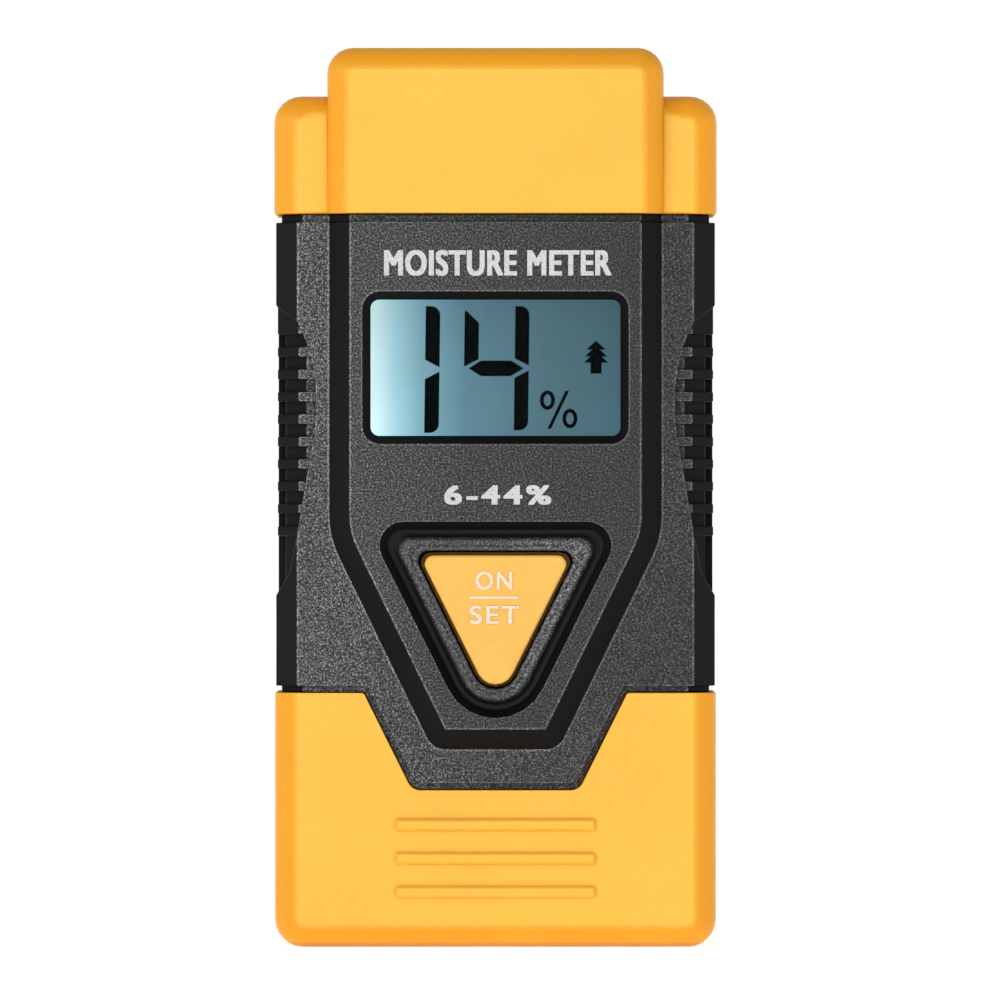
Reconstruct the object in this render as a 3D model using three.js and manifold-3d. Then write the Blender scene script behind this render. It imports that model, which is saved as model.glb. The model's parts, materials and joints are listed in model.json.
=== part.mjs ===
// Pocket moisture meter with two needle electrodes, in millimetres.
// +Z runs up the body from the battery cover to the pin cap, and the display faces -Y.
// The origin is the centre of the bottom face of the battery cover.
import * as THREE from "three";
import { mergeVertices } from "three/addons/utils/BufferGeometryUtils.js";
import Module from "manifold-3d";

const wasm = await Module();
wasm.setup();

// Overall sizes
const HEIGHT = 80;
const DEPTH = 20;
const CAP_WIDTH = 39.4;
const COVER_WIDTH = 39.28;
const BODY_WIDTH = 39.1;
const EDGE = 1.95; // width of the chamfer along every long outer edge
const PANEL_RISE = 1.8; // how far the middle panel stands above the shoulders
const WALL = 1.5;
const PARTING = 1.5; // y of the joint between the two housing halves
const SEAM = 0.05; // half of the gap in that joint

const FACE = DEPTH / 2; // |y| of the raised panel
const SHOULDER = FACE - PANEL_RISE; // |y| of the lower faces
const INNER = SHOULDER - WALL; // |y| of the inner walls

// Heights along the body
const COVER_TOP = 22.65;
const BODY_BOTTOM = 23.25;
const BODY_TOP = 64.5;
const CAP_BOTTOM = 65.25;
const SPIGOT_BOTTOM = 2.2;
const SPIGOT_TOP = 70;
const SHOULDER_TOP = 75.75;
const TONGUE_BOTTOM = 14.6;

// The tongue of the housing that runs down into the cover
const TONGUE_TOP_X = 11.35;
const TONGUE_BOTTOM_X = 7.05;
const STEP = 0.6; // the recessed strip between the housing and the cover
const FIT = 0.25; // clearance between the spigots and the caps

// Raised panel
const PANEL_X = 14.85;
const PANEL_CHAMFER = 1.94;
const PANEL_BEND_Z = 36.5;
const PANEL_FOOT_X = 5.63;
const PANEL_FOOT_Z = 17.55;

// Display
const WINDOW_Z = 51.55;
const WINDOW_W = 23.8;
const WINDOW_H = 13.7;
const WINDOW_EDGE = 0.8;

// Key: the sides of the triangle would meet at KEY_APEX
const KEY_TOP = 34.9;
const KEY_APEX = 21.3;
const KEY_SLOPE = 0.5;
const KEY_TIP_R = 1.7;
const KEY_Z = 30.6;
const KEY_FACE = -FACE + 0.25;
const FLANGE_FRONT = -7.05;
const SWITCH_TOP = -5.2;
const RECESS_GROW = 2.65;

// Side grips
const RIB_COUNT = 10;
const RIB_PITCH = 1.993;
const RIB_HEIGHT = 0.86;
const TOP_RIB_Z = 54.97;
const GRIP_SINK = 0.3;
const POCKET_SINK = 0.85;
const GRIP_SPINE = 2.4; // |y| where the pockets end on the side

// Electrodes
const PIN_X = 10;
const PIN_TIP_Z = 77.8;

// Circuit board and cells
const BOARD_FRONT = -1.7;
const BOARD_BACK = -0.1;
const CELL_R = 5.8;
const CELL_LENGTH = 5.4;
const CELL_Z = 8.4;
const CELL_Y = -0.45;
const CELL_COUNT = 4;

// ---------------------------------------------------------------- solids

// A closed three.js geometry as a manifold solid.
function solid(geometry) {
  const bare = geometry.index ? geometry.toNonIndexed() : geometry.clone();
  bare.deleteAttribute("normal");
  bare.deleteAttribute("uv");
  const merged = mergeVertices(bare, 1e-4);
  return new wasm.Manifold(
    new wasm.Mesh({
      numProp: 3,
      vertProperties: new Float32Array(merged.attributes.position.array),
      triVerts: new Uint32Array(merged.index.array),
    }),
  );
}

// The same solid back as a three.js geometry.
function geometryOf(body) {
  const mesh = body.getMesh();
  const geometry = new THREE.BufferGeometry();
  geometry.setAttribute("position", new THREE.BufferAttribute(mesh.vertProperties, 3));
  geometry.setIndex(new THREE.BufferAttribute(mesh.triVerts, 1));
  geometry.computeVertexNormals();
  return geometry;
}

const union = (...bodies) => bodies.reduce((whole, body) => whole.add(body));
const cut = (body, ...tools) => tools.reduce((whole, tool) => whole.subtract(tool), body);

// A closed outline through corners [x, y, radius], each rounded by a tangent arc.
function roundedOutline(corners) {
  const outline = new THREE.Shape();
  corners.forEach(([x, y, radius = 0], i) => {
    const [px, py] = corners.at(i - 1);
    const [nx, ny] = corners[(i + 1) % corners.length];
    const corner = new THREE.Vector2(x, y);
    const back = new THREE.Vector2(px, py).sub(corner).normalize();
    const ahead = new THREE.Vector2(nx, ny).sub(corner).normalize();
    if (radius === 0) {
      if (i === 0) outline.moveTo(x, y);
      else outline.lineTo(x, y);
      return;
    }
    const half = Math.acos(back.dot(ahead)) / 2;
    const reach = radius / Math.tan(half);
    const centre = back.clone().add(ahead).normalize();
    centre.multiplyScalar(radius / Math.sin(half)).add(corner);
    const from = back.clone().multiplyScalar(reach).add(corner).sub(centre);
    const to = ahead.clone().multiplyScalar(reach).add(corner).sub(centre);
    const turnsRight = ahead.cross(back) < 0;
    if (i === 1) outline.lineTo(centre.x + from.x, centre.y + from.y);
    outline.absarc(centre.x, centre.y, radius, from.angle(), to.angle(), turnsRight);
  });
  outline.closePath();
  return outline;
}

// A left-right symmetric outline from its right-hand corners, listed bottom to top.
function mirrored(right) {
  const left = right.map(([x, y, radius]) => [-x, y, radius]).reverse();
  return roundedOutline([...right, ...left]);
}

const rectangle = (x0, y0, x1, y1, radius = 0) =>
  roundedOutline([[x0, y0, radius], [x1, y0, radius], [x1, y1, radius], [x0, y1, radius]]);

const X = new THREE.Vector3(1, 0, 0);
const Y = new THREE.Vector3(0, 1, 0);
const Z = new THREE.Vector3(0, 0, 1);
const TO_FRONT = new THREE.Matrix4().makeBasis(X, Z, Y.clone().negate());

function extruded(outline, length, options) {
  return new THREE.ExtrudeGeometry(outline, {
    depth: length,
    bevelEnabled: false,
    curveSegments: 3,
    ...options,
  });
}

// An outline in x and z, extruded between two depths. A bevel narrows both ends.
function frontPrism(outline, y0, y1, bevel = null, curveSegments = 3) {
  const rise = bevel ? bevel.rise : 0;
  const options = bevel && {
    bevelEnabled: true,
    bevelThickness: rise,
    bevelSize: bevel.size,
    bevelOffset: -bevel.size,
    bevelSegments: bevel.steps ?? 1,
  };
  const geometry = extruded(outline, y1 - y0 - 2 * rise, { ...options, curveSegments });
  geometry.applyMatrix4(TO_FRONT);
  geometry.translate(0, y1 - rise, 0);
  return solid(geometry);
}

// An outline in x and y, extruded between two heights.
function uprightPrism(outline, z0, z1) {
  return solid(extruded(outline, z1 - z0).translate(0, 0, z0));
}

function block(x0, x1, y0, y1, z0, z1) {
  const geometry = new THREE.BoxGeometry(x1 - x0, y1 - y0, z1 - z0);
  return solid(geometry.translate((x0 + x1) / 2, (y0 + y1) / 2, (z0 + z1) / 2));
}

// A cylinder along Y.
function rod(x, z, radius, y0, y1, sides = 16) {
  const geometry = new THREE.CylinderGeometry(radius, radius, y1 - y0, sides);
  return solid(geometry.translate(x, (y0 + y1) / 2, z));
}

// A solid of revolution about Y or Z from a profile of [radius, height] points, bottom first.
function turned(profile, sides, alongZ = false) {
  const points = profile.map(([r, h]) => new THREE.Vector2(r, h));
  const geometry = new THREE.LatheGeometry(points, sides);
  if (alongZ) geometry.rotateX(Math.PI / 2);
  return geometry;
}

function wire(points, radius, steps, sides = 8) {
  const path = new THREE.CatmullRomCurve3(points.map((p) => new THREE.Vector3(...p)));
  const section = new THREE.Shape();
  section.absarc(0, 0, radius, 0, 2 * Math.PI);
  const options = { steps, extrudePath: path, bevelEnabled: false, curveSegments: sides / 2 };
  return new THREE.ExtrudeGeometry(section, options);
}

// ---------------------------------------------------------------- shared outlines

// Plan view of a slab with its four long edges chamfered.
function chamferedPlan(halfWidth, halfDepth, edgeX, edgeY) {
  return roundedOutline([
    [halfWidth - edgeX, -halfDepth],
    [halfWidth, edgeY - halfDepth],
    [halfWidth, halfDepth - edgeY],
    [halfWidth - edgeX, halfDepth],
    [edgeX - halfWidth, halfDepth],
    [-halfWidth, halfDepth - edgeY],
    [-halfWidth, edgeY - halfDepth],
    [edgeX - halfWidth, -halfDepth],
  ]);
}

// Front view of the housing with its tongue, moved outward by grow below the body.
function tongueOutline(grow, halfWidth, top, bottomY) {
  const slope = (TONGUE_TOP_X - TONGUE_BOTTOM_X) / (BODY_BOTTOM - TONGUE_BOTTOM);
  const sideways = grow * Math.hypot(1, slope);
  const lower = TONGUE_BOTTOM_X - slope * grow + sideways;
  const upper = TONGUE_TOP_X - slope * grow + sideways;
  return mirrored([
    [lower, bottomY - grow, 1.2],
    [upper, BODY_BOTTOM - grow, 0.3],
    [halfWidth, BODY_BOTTOM - grow, 0.3],
    [halfWidth, top],
  ]);
}

// Front view of the raised panel at its foot.
const panelOutline = (top) =>
  mirrored([
    [PANEL_FOOT_X, PANEL_FOOT_Z, 2],
    [PANEL_X, PANEL_BEND_Z, 9],
    [PANEL_X, top],
  ]);

// The key's triangle, moved outward by grow.
function keyOutline(grow, cornerR) {
  const half = Math.atan(KEY_SLOPE);
  const apex = KEY_APEX - grow / Math.sin(half);
  const top = KEY_TOP + grow;
  const corner = (top - apex) * KEY_SLOPE;
  return roundedOutline([
    [0, apex, KEY_TIP_R + grow],
    [corner, top, cornerR],
    [-corner, top, cornerR],
  ]);
}

// ---------------------------------------------------------------- housing halves

const PANEL_BEVEL = { rise: PANEL_RISE, size: PANEL_CHAMFER };

// The full outer form of the housing, with both spigots, before it is hollowed.
function housingForm() {
  const half = BODY_WIDTH / 2;
  const plan = chamferedPlan(half, SHOULDER, EDGE, EDGE);
  const slab = uprightPrism(plan, TONGUE_BOTTOM, BODY_TOP);
  const front = tongueOutline(0, half + 1, BODY_TOP + 1, TONGUE_BOTTOM);
  const body = slab.intersect(frontPrism(front, -FACE, FACE));
  const panel = frontPrism(panelOutline(BODY_TOP + 9), -FACE, FACE, PANEL_BEVEL, 4);
  const belowTop = block(-20, 20, -FACE, FACE, TONGUE_BOTTOM, BODY_TOP);

  const stepIn = 0.5;
  const lowStep = uprightPrism(
    chamferedPlan(half - stepIn, SHOULDER - stepIn, EDGE, EDGE),
    TONGUE_BOTTOM - STEP,
    BODY_BOTTOM + 0.5,
  ).intersect(frontPrism(tongueOutline(STEP - 0.05, half, BODY_TOP, TONGUE_BOTTOM), -FACE, FACE));

  const highStep = uprightPrism(
    chamferedPlan(half - stepIn, SHOULDER - stepIn, EDGE, EDGE),
    BODY_TOP - 0.5,
    CAP_BOTTOM - 0.05,
  );
  const middleStep = frontPrism(panelOutline(BODY_TOP + 9), stepIn - FACE, FACE - stepIn, PANEL_BEVEL, 4)
    .intersect(block(-20, 20, -FACE, FACE, BODY_TOP - 0.5, CAP_BOTTOM - 0.05));

  const spigotX = COVER_WIDTH / 2 - WALL - FIT;
  const spigotY = INNER - FIT;
  const spigotPlan = rectangle(-spigotX, -spigotY, spigotX, spigotY, 1);
  const lowSpigot = uprightPrism(spigotPlan, SPIGOT_BOTTOM, BODY_BOTTOM + 1);
  const highSpigot = uprightPrism(spigotPlan, BODY_TOP - 1, SPIGOT_TOP);
  return union(body, panel.intersect(belowTop), lowStep, highStep, middleStep, lowSpigot, highSpigot);
}

// The space inside the housing: board bay, battery bay and the openings of both.
function housingHollow() {
  const sideX = 17.1;
  const bay = block(-sideX, sideX, -INNER, INNER, BODY_BOTTOM + 1, BODY_TOP - 1.2);
  const inset = 1.6;
  const panelBay = frontPrism(panelOutline(BODY_TOP + 9), -FACE, FACE, PANEL_BEVEL)
    .scale([(PANEL_X - inset) / PANEL_X, (FACE - inset) / FACE, 1])
    .intersect(block(-16, 16, -FACE, FACE, BODY_BOTTOM + 1, BODY_TOP - 1.2));
  const neck = block(-sideX + 1, sideX - 1, -INNER + 1.4, INNER - 1.4, 16, SPIGOT_TOP - 1.6);
  const bayTop = TONGUE_BOTTOM - STEP - 0.1;
  const batteryBay = block(-13.4, 13.4, -INNER - 1, INNER + 1, SPIGOT_BOTTOM - 1, bayTop);
  const trayBay = block(-13.4, 13.4, -INNER + 1.4, INNER - 1.4, SPIGOT_BOTTOM - 1, 17);
  return union(bay, panelBay, neck, batteryBay, trayBay);
}

// The pockets between the grip ribs on one side, and the shallow recess around them.
function gripCut(side) {
  const half = BODY_WIDTH / 2;
  const outer = half + 1;
  const zone = new THREE.Shape();
  zone.moveTo(outer, 57.9);
  zone.lineTo(17.6, 55.6);
  zone.quadraticCurveTo(14.9, 50.6, 16.6, 43);
  zone.quadraticCurveTo(17.2, 39.5, 17.6, 37);
  zone.lineTo(18.3, 33.4);
  zone.lineTo(outer, 29.6);
  zone.closePath();
  const zoneBody = frontPrism(zone, -FACE, FACE, null, 6);
  const shallowPlan = chamferedPlan(half - GRIP_SINK * 0.5, SHOULDER - GRIP_SINK, EDGE, EDGE);
  const deepPlan = chamferedPlan(half - POCKET_SINK, SHOULDER - POCKET_SINK, EDGE, EDGE);
  const shallow = cut(zoneBody, uprightPrism(shallowPlan, TONGUE_BOTTOM, BODY_TOP));
  const deep = cut(
    zoneBody,
    uprightPrism(deepPlan, TONGUE_BOTTOM, BODY_TOP),
    block(10, 22, -GRIP_SPINE, GRIP_SPINE, TONGUE_BOTTOM, BODY_TOP),
  );
  const pocketHeight = RIB_PITCH - RIB_HEIGHT;
  const inX = 15.9;
  const pockets = [];
  for (let rib = 0; rib < RIB_COUNT; rib += 1) {
    const top = TOP_RIB_Z - RIB_HEIGHT / 2 - rib * RIB_PITCH;
    const height = rib === RIB_COUNT - 1 ? 5.6 : pocketHeight;
    pockets.push(frontPrism(rectangle(inX, top - height, outer + 0.5, top, 0.2), -FACE, FACE, null, 1));
  }
  const whole = union(shallow, deep.intersect(union(...pockets)));
  return side > 0 ? whole : whole.mirror([1, 0, 0]);
}

const SCREWS = [
  { name: "housing_screw_top_right", x: 10.4, z: 61.5, seat: FACE - 3 },
  { name: "housing_screw_top_left", x: -10.4, z: 61.5, seat: FACE - 3 },
  { name: "housing_screw_low_right", x: 15.5, z: 18.6, seat: INNER - FIT - 1.6 },
  { name: "housing_screw_low_left", x: -15.5, z: 18.6, seat: INNER - FIT - 1.6 },
];
const SCREW_HEAD_R = 1.8;
const SCREW_HEAD_H = 1.2;
const SCREW_SHANK_R = 0.95;
const SCREW_END = -4.2;
const BOARD_SCREW_X = 14.3;
const BOARD_SCREW_Z = 37.4;

function housingWhole() {
  const bosses = SCREWS.slice(0, 2).map(({ x, z }) => rod(x, z, 2.3, -FACE + 1, FACE - 1, 20));
  const boardBosses = [1, -1].map((side) =>
    rod(side * BOARD_SCREW_X, BOARD_SCREW_Z, 1.9, -SHOULDER + 1, BOARD_FRONT - 0.1),
  );
  const hollow = cut(housingHollow(), ...bosses, ...boardBosses, boardRest(1), boardRest(-1));
  const holes = SCREWS.flatMap(({ x, z, seat }) => [
    rod(x, z, SCREW_SHANK_R + 0.15, SCREW_END - 1.1, FACE, 12),
    rod(x, z, SCREW_HEAD_R + 0.3, seat, FACE + 1, 18),
  ]);
  const boardHoles = [1, -1].map((side) =>
    rod(side * BOARD_SCREW_X, BOARD_SCREW_Z, 0.85, -6, BOARD_FRONT, 12),
  );
  const sockets = [1, -1].flatMap((side) => [
    solid(turned([[0, 63.8], [2.8, 63.8], [2.8, 72], [0, 72]], 20, true)).translate([side * PIN_X, 0, 0]),
    solid(turned([[0, 64.7], [3.9, 64.7], [3.9, 67.4], [0, 67.4]], 20, true)).translate([side * PIN_X, 0, 0]),
  ]);
  return cut(housingForm(), hollow, ...holes, ...boardHoles, ...sockets, gripCut(1), gripCut(-1));
}

// A rib under the board's edge on one side, high in the body.
function boardRest(side) {
  const reach = [15, 17.2].map((x) => side * x);
  return block(Math.min(...reach), Math.max(...reach), -INNER - 1, BOARD_FRONT - 0.15, 47, 54);
}

const housing = housingWhole();

function frontHousing() {
  const half = housing.intersect(block(-21, 21, -FACE - 1, PARTING - SEAM, 0, HEIGHT));
  const inner = WINDOW_EDGE;
  const [left, right] = [-WINDOW_W / 2, WINDOW_W / 2];
  const [low, high] = [WINDOW_Z - WINDOW_H / 2, WINDOW_Z + WINDOW_H / 2];
  const frame = rectangle(left, low, right, high, 1.6);
  const bevel = { rise: 0.7, size: inner, steps: 2 };
  const opening = frontPrism(frame, -FACE - 0.7 + 0.001, -FACE + 2.2, bevel, 4);
  const through = frontPrism(
    rectangle(left + inner, low + inner, right - inner, high - inner, 0.75),
    -FACE - 1,
    -INNER,
    null,
    4,
  );
  const bevelBand = opening.intersect(block(-20, 20, -FACE - 1, -FACE + 0.8, 40, 62));
  const lensSeat = block(-12.25, 12.25, -FACE + 0.9, -INNER, WINDOW_Z - 7.2, WINDOW_Z + 7.2);

  const recessFloor = -FACE + 1.1;
  const backing = frontPrism(keyOutline(RECESS_GROW + 0.9, 2.4), recessFloor, recessFloor + 1.5);
  const recess = frontPrism(
    keyOutline(RECESS_GROW + 0.3, 2.1),
    -FACE - 1.4,
    recessFloor,
    { rise: 0.9, size: 0.75 },
    4,
  );
  const ridge = frontPrism(
    keyOutline(RECESS_GROW - 0.95, 1.6),
    recessFloor - 0.65,
    recessFloor + 1.3,
    { rise: 0.6, size: 0.7, steps: 3 },
    4,
  );
  const keyHole = frontPrism(keyOutline(FIT, 0.9), -FACE - 1, -INNER + 1, null, 3);
  const flangeRoom = frontPrism(keyOutline(1.3, 1.4), FLANGE_FRONT - 0.35, -INNER + 2.5);
  const dished = union(cut(union(half, backing), recess), ridge);
  return cut(dished, bevelBand, through, lensSeat, keyHole, flangeRoom);
}

function rearHousing() {
  const half = housing.intersect(block(-21, 21, PARTING + SEAM, FACE + 1, 0, HEIGHT));
  const labelSeat = frontPrism(rectangle(-11.2, 40, 11.2, 57.6, 1), FACE - 0.25, FACE + 1);
  return cut(half, labelSeat);
}

// ---------------------------------------------------------------- cap and cover

const SOFT = { rise: EDGE, size: EDGE + 0.1, steps: 3 };

function pinCap() {
  const half = CAP_WIDTH / 2;
  const shoulder = mirrored([[half, CAP_BOTTOM - 9], [half, SHOULDER_TOP, 2.4]]);
  const middle = mirrored([[PANEL_X + 0.1, CAP_BOTTOM - 9], [PANEL_X + 0.1, HEIGHT, 2.3]]);
  const above = block(-21, 21, -FACE - 1, FACE + 1, CAP_BOTTOM, HEIGHT + 1);
  const outer = union(
    frontPrism(shoulder, -SHOULDER, SHOULDER, SOFT, 3),
    frontPrism(middle, -FACE, FACE, { rise: PANEL_RISE, size: PANEL_CHAMFER, steps: 3 }, 3),
  ).intersect(above);
  const inShoulder = block(WALL - half, half - WALL, -INNER, INNER, CAP_BOTTOM - 1, SHOULDER_TOP - WALL);
  const inX = PANEL_X - WALL - 0.2;
  const inMiddle = frontPrism(
    rectangle(-inX, CAP_BOTTOM - 1, inX, HEIGHT - WALL, 0.8),
    -FACE + WALL,
    FACE - WALL,
  );
  return cut(outer, inShoulder, inMiddle);
}

const GRIP_BARS = { half: 8.9, height: 1.05, relief: 0.35, low: 4.94, pitch: 2.99, count: 3 };

function batteryCover() {
  const half = COVER_WIDTH / 2;
  const outline = mirrored([[half, 0, 2.5], [half, COVER_TOP + 9]]);
  const outer = frontPrism(outline, -SHOULDER, SHOULDER, SOFT, 3);
  const keep = block(-21, 21, -FACE, FACE, 0, COVER_TOP);
  const inside = uprightPrism(
    rectangle(WALL - half, -INNER, half - WALL, INNER, 0.7),
    1.6,
    COVER_TOP + 2,
  );
  const mouth = frontPrism(tongueOutline(STEP, half + 2, HEIGHT, TONGUE_BOTTOM), -FACE, FACE);
  const shell = cut(outer.intersect(keep), inside, mouth);
  const bars = [];
  for (let i = 0; i < GRIP_BARS.count; i += 1) {
    const z = GRIP_BARS.low + i * GRIP_BARS.pitch;
    const bar = rectangle(
      -GRIP_BARS.half,
      z - GRIP_BARS.height / 2,
      GRIP_BARS.half,
      z + GRIP_BARS.height / 2,
      0.25,
    );
    const bevel = { rise: 0.18, size: 0.18 };
    for (const side of [1, -1]) {
      const outerFace = side * (SHOULDER + GRIP_BARS.relief);
      const innerFace = side * (SHOULDER - 0.6);
      bars.push(frontPrism(bar, Math.min(outerFace, innerFace), Math.max(outerFace, innerFace), bevel, 1));
    }
  }
  return union(shell, ...bars);
}

// ---------------------------------------------------------------- key and switch


function setButton() {
  const softEdge = { rise: 0.25, size: 0.25, steps: 2 };
  const key = frontPrism(keyOutline(0, 0.8), KEY_FACE, FLANGE_FRONT + 0.6, softEdge);
  const flange = frontPrism(keyOutline(0.9, 1), FLANGE_FRONT, FLANGE_FRONT + 0.8, null, 2);
  const stem = rod(0, KEY_Z, 1.5, FLANGE_FRONT + 0.4, SWITCH_TOP - 0.65);
  return union(key, flange, stem);
}

function switchPlunger() {
  const stem = rod(0, KEY_Z, 1.1, SWITCH_TOP - 0.6, SWITCH_TOP + 0.9);
  const foot = rod(0, KEY_Z, 1.6, SWITCH_TOP + 0.85, SWITCH_TOP + 1.3);
  return union(stem, foot);
}

function switchCase() {
  const outer = block(-3, 3, SWITCH_TOP, BOARD_FRONT - 0.05, KEY_Z - 3, KEY_Z + 3);
  const bore = rod(0, KEY_Z, 1.3, SWITCH_TOP - 1, SWITCH_TOP + 1);
  const chamber = rod(0, KEY_Z, 1.85, SWITCH_TOP + 0.5, SWITCH_TOP + 2.2);
  return cut(outer, bore, chamber);
}

// ---------------------------------------------------------------- display stack

const windowLens = () =>
  frontPrism(
    rectangle(-12, WINDOW_Z - 6.95, 12, WINDOW_Z + 6.95, 0.8),
    -FACE + 1,
    -FACE + 1.9,
    { rise: 0.15, size: 0.15 },
  );

function lcdPanel() {
  const frontGlass = block(-11.7, 11.7, -7.9, -7, WINDOW_Z - 6.6, WINDOW_Z + 7.4);
  const rearGlass = block(-12.2, 12.2, -7.05, -6.1, WINDOW_Z - 8.6, WINDOW_Z + 7.4);
  return union(frontGlass, rearGlass);
}

const lightGuide = () =>
  frontPrism(
    rectangle(-11.6, WINDOW_Z - 5.9, 11.6, WINDOW_Z + 7, 0.5),
    -5.8,
    -3.6,
    { rise: 0.2, size: 0.2 },
  );

function lcdFrame() {
  const outer = frontPrism(rectangle(-13.5, 42.3, 13.5, 59, 0.8), -5.9, BOARD_FRONT - 0.05);
  const guideRoom = block(-11.8, 11.8, -7, -3.4, WINDOW_Z - 6.1, WINDOW_Z + 7.2);
  const through = block(-9, 9, -4, 0, WINDOW_Z - 4, WINDOW_Z + 5);
  const stripRoom = block(-11.3, 11.3, -7, 0, 43, 44.9);
  return cut(outer, guideRoom, through, stripRoom);
}

const zebraStrip = () => block(-11, 11, -6.05, BOARD_FRONT - 0.05, 43.2, 44.7);

// ---------------------------------------------------------------- board and electrodes

function circuitBoard() {
  const outline = mirrored([
    [9.5, 24.6, 0.6],
    [9.5, 30, 0.6],
    [16.3, 30, 0.6],
    [16.3, 57.6, 0.6],
    [7.6, 57.6, 0.6],
    [7.6, 63, 0.6],
  ]);
  const holes = [1, -1].map((side) => rod(side * BOARD_SCREW_X, BOARD_SCREW_Z, 1, -3, 2, 12));
  return cut(frontPrism(outline, BOARD_FRONT, BOARD_BACK, null, 1), ...holes);
}

function electrodePin() {
  const profile = [
    [0, 66.4], [1.1, 66.4], [1.4, 66.8], [1.4, 70.1], [2.5, 70.1], [2.5, 71.5], [2.2, 71.8],
    [1.1, 71.8], [1.1, 74.6], [0.12, PIN_TIP_Z - 0.1], [0, PIN_TIP_Z],
  ];
  return turned(profile, 16, true);
}

function electrodeSocket() {
  const profile = [
    [0, 64], [1.3, 64], [1.3, 64.9], [3.6, 64.9], [3.6, 67.2], [2.5, 67.2], [2.5, 69.9],
    [1.65, 69.9], [1.65, 66], [0, 66],
  ];
  return turned(profile, 18, true);
}

const pinLead = (side) =>
  wire(
    [
      [side * 8.55, 0, 64.45],
      [side * 7.9, 0.1, 64.4],
      [side * 7, 0.9, 63.6],
      [side * 6.2, 1.3, 61.8],
      [side * 5.2, 1.1, 59],
      [side * 5, 0.5, 57.2],
    ],
    0.42,
    14,
    6,
  );

// ---------------------------------------------------------------- battery tray

const TRAY_X = 13.1;
const ROW_START = -11.1;

function batteryHolder() {
  const low = block(-TRAY_X, TRAY_X, -3.9, 6.3, 2, 13.7);
  const outer = low.add(block(-TRAY_X, TRAY_X, -3.9, 5.2, 2, 15.4));
  const end = 12.3;
  const room = solid(new THREE.CylinderGeometry(6, 6, 2 * end, 24).rotateZ(Math.PI / 2));
  const trough = room.translate([0, CELL_Y, CELL_Z]);
  const mouth = block(-end, end, -7, CELL_Y, CELL_Z - 5.9, CELL_Z + 5.9);
  const tabs = block(-end - 0.4, -end + 0.35, -7, 2, CELL_Z - 3, 17);
  return cut(outer, trough, mouth, tabs, tabs.mirror([1, 0, 0]));
}

// One button cell: the can, the grommet step and the smaller negative cap.
const coinCell = (x) =>
  turned(
    [
      [0, 0], [CELL_R - 0.35, 0], [CELL_R - 0.05, 0.3], [CELL_R - 0.05, 4.1], [CELL_R - 0.45, 4.5],
      [CELL_R - 1, 4.6], [CELL_R - 1.1, 5.15], [CELL_R - 1.4, CELL_LENGTH - 0.05], [0, CELL_LENGTH - 0.05],
    ],
    24,
  )
    .rotateZ(-Math.PI / 2)
    .translate(x, CELL_Y, CELL_Z);

const contactPlate = () =>
  union(
    block(-11.5, -11.2, CELL_Y - 3, CELL_Y + 2, CELL_Z - 2.6, CELL_Z + 3),
    block(-12.5, -11.3, -1.2, 0.8, CELL_Z + 2.4, CELL_Z + 2.8),
    block(-12.5, -12.2, -1.2, 0.8, CELL_Z + 2.4, 17.4),
  );

// Cone spring that presses on the last cell's cap.
function contactSpring() {
  const turns = 3;
  const points = [];
  for (let i = 0; i <= turns * 8; i += 1) {
    const share = i / (turns * 8);
    const angle = share * turns * 2 * Math.PI;
    const radius = 2.6 - 1.2 * share;
    points.push([
      12.05 - 1.1 * share,
      CELL_Y + radius * Math.cos(angle),
      CELL_Z + radius * Math.sin(angle),
    ]);
  }
  return wire(points, 0.16, turns * 16, 6);
}

const springPlate = () => block(12.25, 12.5, -1.2, 0.8, CELL_Z - 2.5, 17.4);

const batteryLead = (side) =>
  wire(
    [
      [side * 12.3, -0.2, 17.7],
      [side * 12.3, 0, 19.2],
      [side * 11.2, 1.2, 21.2],
      [side * 8.8, 1.9, 23],
      [side * 7, 1.6, 25],
      [side * 6.6, 0.2, 26.4],
    ],
    0.42,
    14,
    6,
  );

// ---------------------------------------------------------------- screws

// Pan-head screw along -Y, its head at the back, with a cross recess.
function screw({ x, z, seat }, headR, headH, shankR, end) {
  const slotWidth = 0.28 * headR;
  const reach = 0.62 * headR;
  const head = turned(
    [[0, 0], [headR, 0], [headR, headH * 0.5], [headR * 0.72, headH * 0.95], [0, headH]],
    20,
  );
  const shank = rod(0, 0, shankR, end - seat, 0.2, 12);
  const tip = solid(turned([[0, -1], [shankR, 0], [0, 0]], 12));
  const body = union(solid(head), shank, tip.translate([0, end - seat, 0]));
  const cross = union(
    block(-reach, reach, headH * 0.45, headH + 1, -slotWidth, slotWidth),
    block(-slotWidth, slotWidth, headH * 0.45, headH + 1, -reach, reach),
  );
  return cut(body, cross).translate([x, seat + 0.05, z]);
}

// ---------------------------------------------------------------- materials and assembly

const material = (color, roughness, metalness = 0) =>
  new THREE.MeshStandardMaterial({ color, roughness, metalness });

const YELLOW = () => material(0xfec550, 0.42);
const BLACK = () => material(0x3c3c3e, 0.55);
const BRASS = () => material(0xc9a14a, 0.3, 1);
const STEEL = () => material(0xc8cacc, 0.28, 1);

const group = new THREE.Group();

function place(name, shape, look) {
  const geometry = shape.isBufferGeometry ? shape : geometryOf(shape);
  const mesh = new THREE.Mesh(geometry, look);
  mesh.name = name;
  group.add(mesh);
  return mesh;
}

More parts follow.
